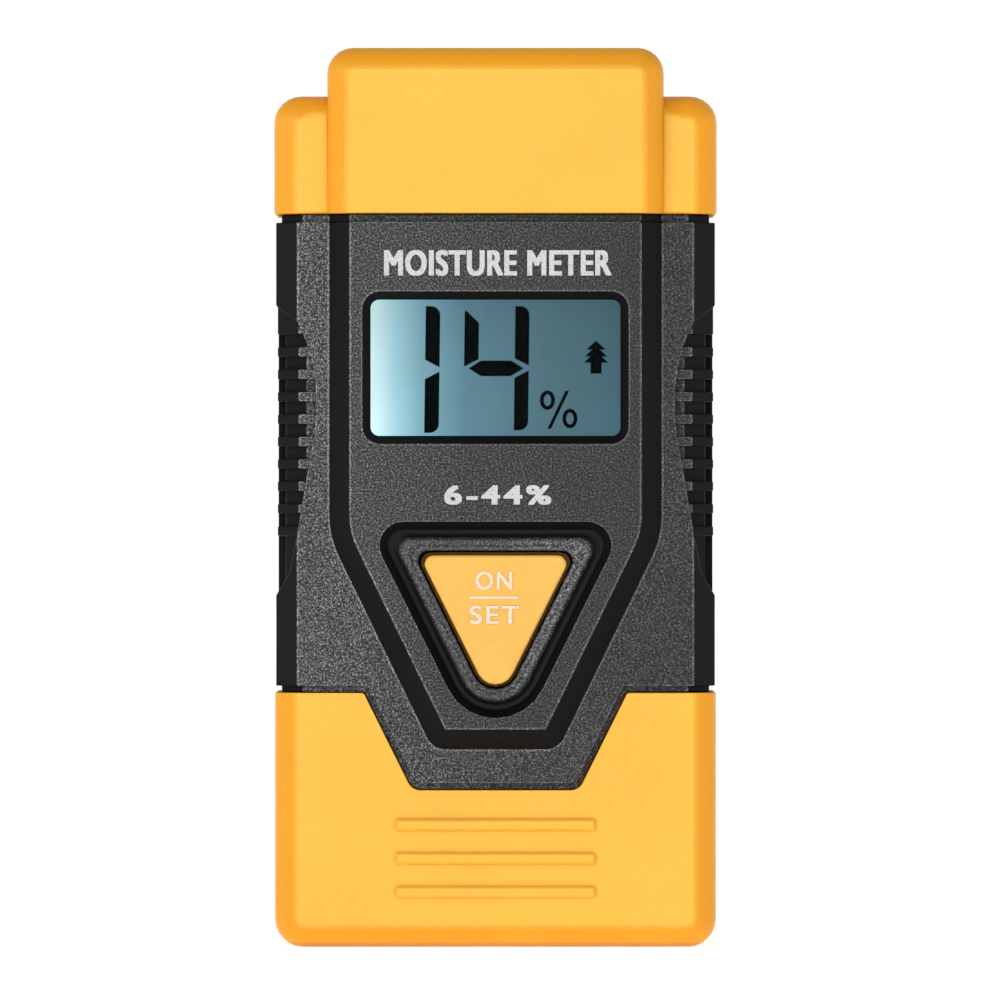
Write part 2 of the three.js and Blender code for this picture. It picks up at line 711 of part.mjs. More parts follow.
place("battery_cover", batteryCover(), YELLOW());
place("front_housing", frontHousing(), BLACK());
place("rear_housing", rearHousing(), BLACK());
place("pin_cap", pinCap(), YELLOW());
place("set_button", setButton(), YELLOW());
place("switch_plunger", switchPlunger(), material(0x1c1c1c, 0.5));
place("switch_case", switchCase(), material(0x252525, 0.5));
place("window_lens", windowLens(), material(0xdff2f6, 0.05));
place("lcd_panel", lcdPanel(), material(0x9cc7cf, 0.15));
place("lcd_frame", lcdFrame(), material(0x151515, 0.6));
place("light_guide", lightGuide(), material(0xe9f4f6, 0.3));
place("zebra_strip", zebraStrip(), material(0x8a4a5c, 0.7));
place("circuit_board", circuitBoard(), material(0x1f6b3a, 0.5));
place("meter_chip", block(-5, 5, BOARD_BACK + 0.05, BOARD_BACK + 1.2, 46, 54), material(0x111111, 0.5));
for (const side of [1, -1]) {
  const hand = side > 0 ? "right" : "left";
  place(`electrode_pin_${hand}`, electrodePin(), STEEL()).position.x = side * PIN_X;
  place(`electrode_socket_${hand}`, electrodeSocket(), BRASS()).position.x = side * PIN_X;
  place(`pin_lead_${hand}`, pinLead(side), material(side > 0 ? 0xb02020 : 0x202020, 0.5));
  place(`battery_lead_${hand}`, batteryLead(side), material(side > 0 ? 0x202020 : 0xb02020, 0.5));
  const chip = block(side * 10 - 1.6, side * 10 + 1.6, BOARD_BACK + 0.05, BOARD_BACK + 1.3, 48, 50);
  place(`filter_capacitor_${hand}`, chip, material(0x9a7a50, 0.5));
  const seat = { x: side * BOARD_SCREW_X, z: BOARD_SCREW_Z, seat: BOARD_BACK };
  place(`board_screw_${hand}`, screw(seat, 1.5, 0.9, 0.7, -4.8), STEEL());
}
place("battery_holder", batteryHolder(), material(0x1b1b1b, 0.6));
for (let i = 0; i < CELL_COUNT; i += 1) {
  place(`button_cell_${i + 1}`, coinCell(ROW_START + i * CELL_LENGTH), STEEL());
}
place("contact_plate", contactPlate(), STEEL());
place("contact_spring", contactSpring(), STEEL());
place("spring_plate", springPlate(), STEEL());
for (const spot of SCREWS) {
  place(spot.name, screw(spot, SCREW_HEAD_R, SCREW_HEAD_H, SCREW_SHANK_R, SCREW_END), STEEL());
}
const label = frontPrism(rectangle(-11, 40.2, 11, 57.4, 0.8), FACE - 0.2, FACE - 0.08);
place("rear_label", label, material(0xc9cbcc, 0.5));

export default group;
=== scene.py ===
"""Looks for the pocket two-pin moisture meter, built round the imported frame. Metres, +Z up, display to -Y."""
import json
import math

import bmesh
import bpy
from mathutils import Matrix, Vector


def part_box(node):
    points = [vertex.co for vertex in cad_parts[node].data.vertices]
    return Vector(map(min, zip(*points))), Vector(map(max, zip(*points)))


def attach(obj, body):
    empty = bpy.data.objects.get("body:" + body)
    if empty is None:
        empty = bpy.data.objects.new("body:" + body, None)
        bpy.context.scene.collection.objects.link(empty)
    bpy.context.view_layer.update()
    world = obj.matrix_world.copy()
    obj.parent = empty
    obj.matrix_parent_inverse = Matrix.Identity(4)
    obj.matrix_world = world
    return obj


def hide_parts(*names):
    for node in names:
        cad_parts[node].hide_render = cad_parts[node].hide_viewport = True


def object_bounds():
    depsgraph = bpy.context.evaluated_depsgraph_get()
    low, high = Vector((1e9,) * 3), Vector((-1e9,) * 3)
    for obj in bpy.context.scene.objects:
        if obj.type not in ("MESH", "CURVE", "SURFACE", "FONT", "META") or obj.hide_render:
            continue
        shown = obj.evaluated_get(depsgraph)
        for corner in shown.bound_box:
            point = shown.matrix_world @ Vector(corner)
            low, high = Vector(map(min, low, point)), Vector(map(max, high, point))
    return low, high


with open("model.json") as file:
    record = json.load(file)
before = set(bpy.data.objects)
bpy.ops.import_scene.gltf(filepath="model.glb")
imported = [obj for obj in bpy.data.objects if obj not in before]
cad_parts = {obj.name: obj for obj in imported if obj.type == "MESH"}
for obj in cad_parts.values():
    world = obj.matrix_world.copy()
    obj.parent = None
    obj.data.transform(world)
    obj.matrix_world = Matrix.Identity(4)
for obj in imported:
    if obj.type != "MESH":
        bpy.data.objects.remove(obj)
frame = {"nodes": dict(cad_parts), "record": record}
cad_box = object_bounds()

MM = 0.001
LOW, HIGH = cad_box
CENTRE = (LOW + HIGH) / 2
NODES = frame["nodes"]


# ------------------------------------------------------------------ camera, light and floor

VIEW_WIDTH = 88.9 * MM
CAMERA_DISTANCE = 1.0
EDGE_DEPTH = 8.5 * MM
SENSOR = 36.0
AIM = CENTRE + Vector((0.4 * MM, 0, -0.2 * MM))
ROOM_LEVEL = 1.02
CEILING_LEVEL = 0.5
FLOOR_GLOW = 0.62


def make_camera():
    data = bpy.data.cameras.new("camera")
    data.sensor_width = SENSOR
    data.lens = SENSOR * (CAMERA_DISTANCE - EDGE_DEPTH) / VIEW_WIDTH
    data.clip_start = 0.01
    data.clip_end = 20
    camera = bpy.data.objects.new("camera", data)
    camera.location = AIM + Vector((0, -CAMERA_DISTANCE, 0))
    camera.rotation_euler = (math.radians(90), 0, 0)
    bpy.context.scene.collection.objects.link(camera)
    bpy.context.scene.camera = camera


def make_light(name, place, size, watts):
    data = bpy.data.lights.new(name, "AREA")
    data.shape = "RECTANGLE"
    data.size, data.size_y = size
    data.energy = watts
    light = bpy.data.objects.new(name, data)
    light.location = place
    light.rotation_euler = (CENTRE - Vector(place)).to_track_quat("-Z", "Y").to_euler()
    light.visible_camera = False
    bpy.context.scene.collection.objects.link(light)


def make_world(level, overhead):
    """A white room: full brightness round the sides, dimmer overhead."""
    world = bpy.data.worlds.new("studio")
    world.use_nodes = True
    tree = world.node_tree
    background = tree.nodes["Background"]
    background.inputs["Color"].default_value = (1, 1, 1, 1)
    direction = tree.nodes.new("ShaderNodeTexCoord").outputs["Generated"]
    parts = tree.nodes.new("ShaderNodeSeparateXYZ")
    fade = tree.nodes.new("ShaderNodeMapRange")
    fade.inputs["From Min"].default_value = 0.15
    fade.inputs["From Max"].default_value = 0.6
    fade.inputs["To Min"].default_value = level
    fade.inputs["To Max"].default_value = overhead
    tree.links.new(direction, parts.inputs[0])
    tree.links.new(parts.outputs["Z"], fade.inputs["Value"])
    tree.links.new(fade.outputs["Result"], background.inputs["Strength"])
    bpy.context.scene.world = world


def make_floor(material):
    radius = 3.0
    mesh = bpy.data.meshes.new("floor")
    shape = bmesh.new()
    bmesh.ops.create_circle(shape, cap_ends=True, segments=96, radius=radius)
    shape.to_mesh(mesh)
    shape.free()
    mesh.materials.append(material)
    floor = bpy.data.objects.new("floor", mesh)
    bpy.context.scene.collection.objects.link(floor)


# ------------------------------------------------------------------ materials

class Look:
    """A node material with one Principled shader, built up by short calls."""

    def __init__(self, name, metallic=0.0, specular=0.5):
        self.material = bpy.data.materials.new(name)
        self.material.use_nodes = True
        self.tree = self.material.node_tree
        self.shader = self.tree.nodes["Principled BSDF"]
        self.shader.inputs["Metallic"].default_value = metallic
        self.shader.inputs["Specular IOR Level"].default_value = specular
        self.shader.inputs["IOR"].default_value = 1.5
        coordinates = self.tree.nodes.new("ShaderNodeTexCoord")
        self.place = coordinates.outputs["Object"]
        self.normal = coordinates.outputs["Normal"]

    def node(self, kind, inputs, **settings):
        made = self.tree.nodes.new(kind)
        for key, value in settings.items():
            setattr(made, key, value)
        for key, value in inputs.items():
            if isinstance(value, bpy.types.NodeSocket):
                self.tree.links.new(value, made.inputs[key])
            else:
                made.inputs[key].default_value = value
        return made

    def noise(self, per_metre, detail=2.0, roughness=0.5, place=None):
        inputs = {"Vector": place or self.place, "Scale": per_metre, "Detail": detail, "Roughness": roughness}
        return self.node("ShaderNodeTexNoise", inputs).outputs["Fac"]

    def stretched(self, scale):
        made = self.node("ShaderNodeMapping", {"Vector": self.place, "Scale": scale})
        return made.outputs["Vector"]

    def ramp(self, value, low, high, to_low=0.0, to_high=1.0):
        inputs = {"Value": value, "From Min": low, "From Max": high, "To Min": to_low, "To Max": to_high}
        return self.node("ShaderNodeMapRange", inputs).outputs["Result"]

    def math(self, operation, a, b=0.0):
        return self.node("ShaderNodeMath", {0: a, 1: b}, operation=operation).outputs[0]

    def mix(self, factor, a, b):
        """A colour between a and b; each is a colour tuple or a colour socket."""
        first, second = ((*c, 1) if isinstance(c, tuple) else c for c in (a, b))
        inputs = {0: factor, 6: first, 7: second}
        return self.node("ShaderNodeMix", inputs, data_type="RGBA").outputs[2]

    def axis(self, vector, index):
        return self.node("ShaderNodeSeparateXYZ", {0: vector}).outputs[index]

    def bump(self, height, distance, strength):
        inputs = {"Height": height, "Distance": distance, "Strength": strength}
        return self.node("ShaderNodeBump", inputs).outputs["Normal"]

    def crevice_shade(self, reach, darkest):
        """Painted shade from an ambient-occlusion node: 1 in the open, falling to darkest in gaps narrower than
        reach.
        """
        shade = self.node("ShaderNodeAmbientOcclusion", {"Distance": reach}, samples=6)
        return self.ramp(shade.outputs["AO"], 0.35, 0.92, darkest, 1.0)

    def tone(self, color, level):
        inputs = {0: 1.0, 6: color, 7: level}
        return self.node("ShaderNodeMix", inputs, data_type="RGBA", blend_type="MULTIPLY").outputs[2]

    def set(self, **sockets):
        names = {"color": "Base Color", "roughness": "Roughness", "normal": "Normal", "alpha": "Alpha",
                 "emission": "Emission Color", "emission_strength": "Emission Strength"}
        for key, value in sockets.items():
            target = self.shader.inputs[names[key]]
            if isinstance(value, bpy.types.NodeSocket):
                self.tree.links.new(value, target)
            elif isinstance(value, tuple):
                target.default_value = (*value, 1)
            else:
                target.default_value = value
        return self.material


def yellow_plastic(name, grain, lit_face_color, shaded_side_color, turn=(0.93, 0.99), reach=0.5 * MM, gap_shade=0.72):
    """Fine matt texture on the faces and smooth plastic on the chamfers and sides, with the faces painted
    lighter and paler as if lit from the front (painted light) and the chamfers and sides painted deeper in
    colour (painted shade).

    turn is the |normal.y| from which a surface counts as a lit face; gaps narrower than reach fall to
    gap_shade, a painted shade.
    """
    look = Look(name, specular=0.35)
    facing = look.math("ABSOLUTE", look.axis(look.normal, 1))
    across = look.math("ABSOLUTE", look.axis(look.place, 0))
    up = look.axis(look.place, 2)
    field = look.math("MULTIPLY", look.ramp(up, 3.5 * MM, 4.5 * MM), look.ramp(up, 14 * MM, 13 * MM))
    # Across the battery cover's ribbed field the painted lit face colour stays at 0.7 or more.
    ribs = look.math("MULTIPLY", field, look.ramp(across, 12 * MM, 11 * MM, 0.0, 0.7))
    # face is 1 on surfaces turned to the front, which take the painted lit colour and the grain, and 0 on
    # chamfers and sides, which take the painted shaded colour.
    face = look.math("MAXIMUM", look.ramp(facing, *turn), ribs)
    cloud = look.ramp(look.noise(90, 3), 0.35, 0.65, 0.97, 1.03)
    fine = look.noise(grain, 2)
    mottle = look.math("MULTIPLY", cloud, look.ramp(fine, 0.3, 0.7, 0.97, 1.03))
    # Painted light and shade: the face colour on the faces, the darker side colour on chamfers and sides.
    plain = look.mix(face, shaded_side_color, lit_face_color)
    # Painted shade in gaps narrower than reach, times a random mottle of tone.
    toned = look.tone(plain, look.math("MULTIPLY", mottle, look.crevice_shade(reach, gap_shade)))
    roughness = look.ramp(look.noise(400, 3), 0.3, 0.7, 0.40, 0.50)
    normal = look.bump(look.math("MULTIPLY", fine, face), 0.02 * MM, 0.7)
    return look.set(color=toned, roughness=roughness, normal=normal)


def black_plastic(name, ridge=False):
    """Spark-eroded grain on the faces, smooth near-black chamfers (painted shade, darker than the faces), pale
    painted highlights along the edges, and the grain painted brighter towards the left (painted light).

    With ridge set it is the dish round the key: grained on the ridge, whose grain is painted brighter towards
    the right (painted highlight), and smooth and near-black in the valley (painted shade).
    """
    look = Look(name, specular=0.16 if ridge else 0.1)
    across = look.axis(look.place, 0)
    behind = look.axis(look.place, 1)
    level = look.math("ABSOLUTE", behind)
    facing = look.math("ABSOLUTE", look.axis(look.normal, 1))
    outer = look.ramp(level, 4.5 * MM, 5.5 * MM)
    edge = look.math("MULTIPLY", look.ramp(facing, 0.76, 0.86), look.ramp(facing, 0.998, 0.985))
    # Painted light: the grain's specks and flecks are painted brighter towards the left (x below zero) than the
    # right.
    painted_left_light = look.ramp(across, -16 * MM, 14 * MM, 1.0, 0.42)
    if ridge:
        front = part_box("front_housing")[0].y
        # Painted shade: the valley, deeper than the crest, gets no grain and the near-black chamfer tone.
        crest = look.ramp(behind, front + 0.84 * MM, front + 0.52 * MM)
        face = look.math("MULTIPLY", crest, outer)
        edge = look.math("MULTIPLY", edge, look.math("MULTIPLY", face, 0.35))
        # Painted highlight: the ridge's grain is painted brighter towards the right of the key.
        painted_speck_light = look.ramp(across, 0.5 * MM, 3.5 * MM, 0.45, 0.95)
    else:
        on_shoulder = look.ramp(level, 8.6 * MM, 8.45 * MM)
        on_panel = look.ramp(level, 9.3 * MM, 9.6 * MM)
        outer = look.math("MULTIPLY", outer, look.math("MAXIMUM", on_shoulder, on_panel))
        face = look.math("MULTIPLY", look.ramp(facing, 0.985, 0.998), outer)
        sunk = look.ramp(behind, -9.9 * MM, -9.0 * MM, 0.86, 1.08)
        painted_speck_light = look.math("MULTIPLY", painted_left_light, sunk)
    grain = look.noise(6200, 2.0, 0.55)
    speck = look.math("POWER", look.ramp(grain, 0.36, 0.74), 2.3)
    # Painted highlights: bright flecks in the grain standing in for light sparkling off it, stronger where the
    # painted light is brighter.
    glint = look.math("POWER", look.ramp(look.noise(7000, 1.5), 0.52, 0.8), 2.0)
    lift = look.math("MULTIPLY", look.math("MULTIPLY", glint, 0.5), painted_left_light)
    # The grain's specks, scaled by the painted light across the faces.
    wear_and_painted_light = look.math("MULTIPLY", speck, painted_speck_light)
    patch = look.ramp(look.noise(60, 2), 0.3, 0.7, 0.88, 1.12)
    # Painted shade on the chamfers: near-black there, with the grained faces a lighter grey; the grain itself
    # is the plastic's own texture.
    dark = look.mix(face, (0.004, 0.004, 0.0041), (0.020, 0.020, 0.021))
    grained = look.mix(look.math("MULTIPLY", wear_and_painted_light, face), dark, (0.40, 0.40, 0.405))
    glinted = look.mix(look.math("MULTIPLY", lift, face), grained, (0.6, 0.6, 0.6))
    # Painted highlights: pale lines on the bevels of the outer faces, where edges catch the light.
    painted_edge_highlight = look.math("MULTIPLY", look.math("MULTIPLY", edge, outer), look.ramp(wear_and_painted_light, 0.0, 0.4, 0.12, 0.7))
    edge_highlighted = look.mix(painted_edge_highlight, glinted, (0.5, 0.5, 0.5))
    # Painted shade in gaps and steps, times random patches of tone.
    toned = look.tone(edge_highlighted, look.math("MULTIPLY", patch, look.crevice_shade(0.28 * MM, 0.1)))
    roughness = look.ramp(patch, 0.88, 1.12, 0.42, 0.55)
    height = look.math("MULTIPLY", grain, face)
    normal = look.bump(height, 0.03 * MM, 0.8)
    return look.set(color=toned, roughness=roughness, normal=normal)


def plain_plastic(name, color, roughness, grain=3000, specular=0.4):
    look = Look(name, specular=specular)
    shade = tuple(0.8 * c for c in color)
    tint = look.mix(look.ramp(look.noise(150, 3), 0.3, 0.7), shade, color)
    rough = look.ramp(look.noise(700, 2), 0.3, 0.7, roughness - 0.06, roughness + 0.06)
    return look.set(color=tint, roughness=rough, normal=look.bump(look.noise(grain), 0.01 * MM, 0.5))


def metal(name, color, roughness, stretch):
    """Drawn or turned metal: fine scratches along one way and slight stains."""
    look = Look(name, metallic=1.0)
    scratches = look.noise(2500, 3, 0.6, look.stretched(stretch))
    shade = tuple(0.78 * c for c in color)
    tint = look.mix(look.ramp(look.noise(300, 3), 0.35, 0.7), color, shade)
    rough = look.ramp(scratches, 0.3, 0.7, roughness - 0.06, roughness + 0.1)
    return look.set(color=tint, roughness=rough, normal=look.bump(scratches, 0.006 * MM, 0.6))


def display_glow():
    """Backlit display: bright at the light's side, on the left, and falling to slate blue on the right."""
    look = Look("display_glow", specular=0.0)
    across = look.axis(look.place, 0)
    up = look.axis(look.place, 2)
    glow = look.node("ShaderNodeValToRGB", {0: look.ramp(across, -11.1 * MM, 11.1 * MM)})
    stops = [
        (0.0, (0.72, 0.98, 1.0)), (0.035, (0.62, 0.90, 0.93)), (0.10, (0.37, 0.66, 0.74)),
        (0.20, (0.20, 0.41, 0.49)), (0.38, (0.105, 0.228, 0.288)), (0.70, (0.070, 0.155, 0.192)),
        (1.0, (0.052, 0.125, 0.158)),
    ]
    elements = glow.color_ramp.elements
    for _ in stops[2:]:
        elements.new(0.5)
    for element, (position, color) in zip(elements, stops):
        element.position = position
        element.color = (*color, 1)
    shade = look.ramp(up, 45.5 * MM, 57.7 * MM, 1.14, 0.84)
    soft = look.ramp(look.noise(130, 2), 0.3, 0.7, 0.94, 1.06)
    level = look.math("MULTIPLY", shade, soft)
    lit = look.tone(glow.outputs[0], level)
    return look.set(color=(0.02, 0.03, 0.035), roughness=0.3, emission=lit, emission_strength=1.0)


def clear_plastic():
    look = Look("clear_lens_look", specular=0.08)
    rough = look.ramp(look.noise(200, 3), 0.3, 0.7, 0.03, 0.09)
    return look.set(color=(0.02, 0.03, 0.03), roughness=rough, alpha=0.05)


def board_green():
    look = Look("board_look", specular=0.5)
    up = look.axis(look.place, 2)
    across = look.axis(look.place, 0)
    traces = look.math("MULTIPLY", look.math("SINE", look.math("MULTIPLY", up, 5200.0)),
                       look.math("SINE", look.math("MULTIPLY", across, 3100.0)))
    tint = look.mix(look.ramp(traces, 0.0, 0.3), (0.008, 0.10, 0.03), (0.02, 0.19, 0.06))
    rough = look.ramp(look.noise(900), 0.3, 0.7, 0.3, 0.42)
    return look.set(color=tint, roughness=rough, normal=look.bump(traces, 0.02 * MM, 0.5))


def ink(name, color):
    """Pad-printed ink, a little uneven where it sits on the grain."""
    look = Look(name, specular=0.3)
    grain = look.noise(5200, 2.5, 0.6)
    wear_and_painted_light = tuple(0.72 * c for c in color)
    tint = look.mix(look.ramp(grain, 0.45, 0.7), color, wear_and_painted_light)
    rough = look.ramp(grain, 0.3, 0.7, 0.5, 0.65)
    return look.set(color=tint, roughness=rough, normal=look.bump(grain, 0.02 * MM, 0.5))


def floor_look():
    look = Look("floor_look", specular=0.1)
    tint = look.mix(look.ramp(look.noise(8, 3), 0.3, 0.7), (0.90, 0.90, 0.89), (0.93, 0.93, 0.925))
    rough = look.ramp(look.noise(40), 0.3, 0.7, 0.75, 0.85)
    return look.set(color=tint, roughness=rough, emission=(1.0, 1.0, 1.0), emission_strength=FLOOR_GLOW)


LOOKS = {
    "yellow_plastic": yellow_plastic("yellow_plastic_look", 2600, (0.90, 0.485, 0.05), (0.80, 0.325, 0.004)),
    # The key's sides take a near-black brown, a painted shadow in the gap round the key, and gaps narrower than
    # 0.22 mm fall to a deep painted shade.
    "key_plastic": yellow_plastic("key_plastic_look", 1800, (0.86, 0.475, 0.085), (0.16, 0.035, 0.002),
                                  turn=(0.02, 0.2), reach=0.22 * MM, gap_shade=0.1),
    "black_plastic": black_plastic("black_plastic_look"),
    "inner_plastic": plain_plastic("inner_plastic_look", (0.016, 0.016, 0.017), 0.5),
    "switch_plastic": plain_plastic("switch_plastic_look", (0.02, 0.02, 0.02), 0.4),
    "clear_lens": clear_plastic(),
    "lcd_glass": display_glow(),
    "light_guide": plain_plastic("light_guide_look", (0.82, 0.88, 0.90), 0.3),
    "rubber_strip": plain_plastic("rubber_strip_look", (0.22, 0.06, 0.09), 0.7),
    "board": board_green(),
    "chip": plain_plastic("chip_look", (0.02, 0.02, 0.021), 0.45),
    "nickel": metal("nickel_look", (0.70, 0.68, 0.63), 0.3, (1, 1, 6)),
    "cell_steel": metal("cell_steel_look", (0.74, 0.73, 0.71), 0.24, (1, 7, 7)),
    "needle_steel": metal("needle_steel_look", (0.70, 0.70, 0.70), 0.2, (8, 8, 1)),
    "screw_steel": metal("screw_steel_look", (0.55, 0.55, 0.54), 0.33, (5, 1, 5)),
    "brass": metal("brass_look", (0.78, 0.55, 0.22), 0.28, (1, 1, 7)),
    "wire_red": plain_plastic("wire_red_look", (0.45, 0.02, 0.02), 0.45),
    "wire_black": plain_plastic("wire_black_look", (0.02, 0.02, 0.02), 0.45),
    "label": ink("label_look", (0.50, 0.51, 0.52)),
}
RIDGE_PLASTIC = black_plastic("ridge_plastic_look", ridge=True)
WHITE_INK = ink("white_ink_look", (0.62, 0.62, 0.62))
KEY_INK = ink("key_ink_look", (1.0, 0.72, 0.52))
DISPLAY_INK = plain_plastic("display_ink_look", (0.0006, 0.0008, 0.001), 0.6, specular=0.0)


# ------------------------------------------------------------------ carried-over CAD nodes

SLOT_OF = {part["node"]: part["material_slot"] for part in frame["record"]["subparts"]}
BODY_OF = {node: body for body, nodes in frame["record"]["behaviour"]["bodies"].items() for node in nodes}


def dress_nodes():
    for name, node in NODES.items():
        node.data.materials.clear()
        node.data.materials.append(LOOKS[SLOT_OF[name]])


def refine(name, width, sharp=34, crisp=False, faceted=False):
    """Replaces a CAD node by the same solid with its outer hard edges rounded and its faces shaded clean."""
    mesh = bpy.data.meshes.new(name + "_moulding")
    shape = bmesh.new()
    shape.from_mesh(NODES[name].data)
    bmesh.ops.remove_doubles(shape, verts=shape.verts, dist=0.025 * MM)
    flat = math.radians(0.8)
    bmesh.ops.dissolve_limit(shape, angle_limit=flat, verts=shape.verts, edges=shape.edges)
    low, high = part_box(name)

    def outside(edge):
        middle = (edge.verts[0].co + edge.verts[1].co) / 2
        shell = 3.2 * MM
        return (middle.y < low.y + shell or middle.y > high.y - shell
                or middle.x < low.x + shell or middle.x > high.x - shell)

    hard = [e for e in shape.edges if e.is_manifold and outside(e)
            and math.radians(sharp) < e.calc_face_angle() < math.radians(150)]
    bmesh.ops.bevel(shape, geom=hard, offset=width, segments=2, profile=0.5, affect="EDGES",
                    clamp_overlap=False, miter_outer="SHARP", miter_inner="SHARP")
    for face in shape.faces:
        face.smooth = not faceted
    for edge in shape.edges:
        borders_face = crisp and any(abs(face.normal.y) > 0.9995 for face in edge.link_faces)
        limit = math.radians(9 if borders_face else 40)
        edge.smooth = not edge.is_manifold or edge.calc_face_angle() < limit
    if name == "front_housing":
        dish = [face for face in shape.faces if all(inside_dish(v.co, low.y) for v in face.verts)]
        bmesh.ops.delete(shape, geom=dish, context="FACES")
    shape.to_mesh(mesh)
    shape.free()
    return add_piece(name + "_moulding", mesh, LOOKS[SLOT_OF[name]], BODY_OF[name], SLOT_OF[name], name)


def add_piece(name, mesh, material, body, slot, *replaced):
    mesh.materials.clear()
    mesh.materials.append(material)
    piece = bpy.data.objects.new(name, mesh)
    bpy.context.scene.collection.objects.link(piece)
    normals = piece.modifiers.new("normals", "WEIGHTED_NORMAL")
    normals.keep_sharp = True
    normals.weight = 100
    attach(piece, body)
    if replaced:
        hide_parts(*replaced)
    return piece


# ------------------------------------------------------------------ printing

def plate(name, outlines, front, depth, material, body, slot):
    """Thin printed shapes: closed outlines of (x, z) in mm, standing at depth behind y = front."""
    mesh = bpy.data.meshes.new(name)
    shape = bmesh.new()
    for outline in outlines:
        corners = [shape.verts.new((x * MM, front, z * MM)) for x, z in outline]
        face = shape.faces.new(corners)
        grown = bmesh.ops.extrude_face_region(shape, geom=[face])
        moved = [v for v in grown["geom"] if isinstance(v, bmesh.types.BMVert)]
        bmesh.ops.translate(shape, verts=moved, vec=(0, depth, 0))
    bmesh.ops.recalc_face_normals(shape, faces=shape.faces)
    bmesh.ops.triangulate(shape, faces=shape.faces)
    shape.to_mesh(mesh)
    shape.free()
    return add_piece(name, mesh, material, body, slot)


def lettering(name, text, centre, width, height, front, material, body, bold, spacing):
    """A line of print fitted to a width and height in mm round its centre (x, z), each stroke made bolder."""
    curve = bpy.data.curves.new(name, "FONT")
    curve.body = text
    curve.space_character = spacing
    curve.extrude = 0.01
    curve.resolution_u = 6
    source = bpy.data.objects.new(name + "_source", curve)
    bpy.context.scene.collection.objects.link(source)
    bpy.context.view_layer.update()
    flat = bpy.data.meshes.new_from_object(source.evaluated_get(bpy.context.evaluated_depsgraph_get()))
    bpy.data.objects.remove(source)
    low = Vector([min(v.co[i] for v in flat.vertices) for i in range(3)])
    high = Vector([max(v.co[i] for v in flat.vertices) for i in range(3)])
    ink_depth = 0.03 * MM
    shape = bmesh.new()
    layer = 0.003 * MM
    for level, (dx, dz) in enumerate(((-1, -1), (-1, 1), (1, -1), (1, 1), (0, 0))):
        done = len(shape.verts)
        shape.from_mesh(flat)
        for v in shape.verts[done:]:
            across = (v.co.x - low.x) / (high.x - low.x) - 0.5
            up = (v.co.y - low.y) / (high.y - low.y) - 0.5
            out = (v.co.z - low.z) / (high.z - low.z)
            x = centre[0] + across * (width - 2 * bold) + dx * bold
            z = centre[1] + up * (height - bold) + dz * bold / 2
            v.co = (x * MM, front - out * (ink_depth + level * layer), z * MM)
    mesh = bpy.data.meshes.new(name)
    shape.to_mesh(mesh)
    shape.free()
    return add_piece(name, mesh, material, body, "label")


def ring(cx, cz, rx, rz, stroke, steps=28):
    """An upright oval stroke as short four-cornered pieces."""
    pieces = []
    for i in range(steps):
        a, b = (2 * math.pi * k / steps for k in (i, i + 1))
        pieces.append([
            (cx + (rx + s) * math.cos(t), cz + (rz + s) * math.sin(t))
            for t, s in ((a, stroke / 2), (b, stroke / 2), (b, -stroke / 2), (a, -stroke / 2))
        ])
    return pieces


def rounded_end(x0, x1, z_far, z_left, z_right, radius=0.8, steps=6):
    """An upright display bar: mitred at one end and round at its outer far corner."""
    sign = 1 if z_far > z_left else -1
    arc = [
        (x1 - radius + radius * math.sin(t), z_far - sign * (radius - radius * math.cos(t)))
        for t in (math.pi / 2 * k / steps for k in range(steps + 1))
    ]
    return [(x0, z_left), (x0, z_far), *arc, (x1, z_right)]


def slanted(outline, middle=51.5, slant=0.013):
    return [(x + (z - middle) * slant, z) for x, z in outline]


def display_print():
    glass_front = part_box("lcd_panel")[0].y
    one = [
        rounded_end(-6.27, -4.98, 57.04, 52.28, 51.61),
        rounded_end(-6.27, -4.98, 45.77, 50.55, 51.22),
    ]
    four = [
        [(-2.8, 51.66), (-2.8, 56.55), (-2.67, 56.66), (-1.52, 55.54), (-1.52, 52.33)],
        rounded_end(1.7, 2.96, 57.04, 52.4, 51.77),
        [(-2.38, 51.51), (-1.3, 52.2), (1.4, 52.2), (2.5, 51.51), (1.34, 50.82), (-1.3, 50.82)],
        rounded_end(1.7, 2.96, 46.0, 50.66, 51.33),
    ]
    digits = [slanted(bar) for bar in one + four]
    percent = ring(4.62, 48.68, 0.5, 0.7, 0.34) + ring(6.62, 47.05, 0.5, 0.7, 0.34)
    percent.append([(4.62, 46.14), (6.23, 49.52), (6.55, 49.52), (4.94, 46.14)])
    x, top = 8.94, 53.96
    tiers = [(0.86, 0.0, 0.78), (0.98, 0.42, 1.4), (1.08, 0.9, 1.94)]
    tree = [[(x, top - start), (x + half, top - end), (x - half, top - end)] for half, start, end in tiers]
    tree.append([(x - 0.49, top - 1.85), (x + 0.49, top - 1.85), (x + 0.49, 51.05), (x - 0.49, 51.05)])
    front = glass_front - 0.06 * MM
    gap = 0.05 * MM
    plate("display_digits", digits, front, gap, DISPLAY_INK, "housing", "inner_plastic")
    plate("display_percent", percent, front, gap, DISPLAY_INK, "housing", "inner_plastic")
    for i, tier in enumerate(tree):
        tier_front = front - i * 0.004 * MM
        plate(f"display_tree_{i + 1}", [tier], tier_front, gap, DISPLAY_INK, "housing", "inner_plastic")


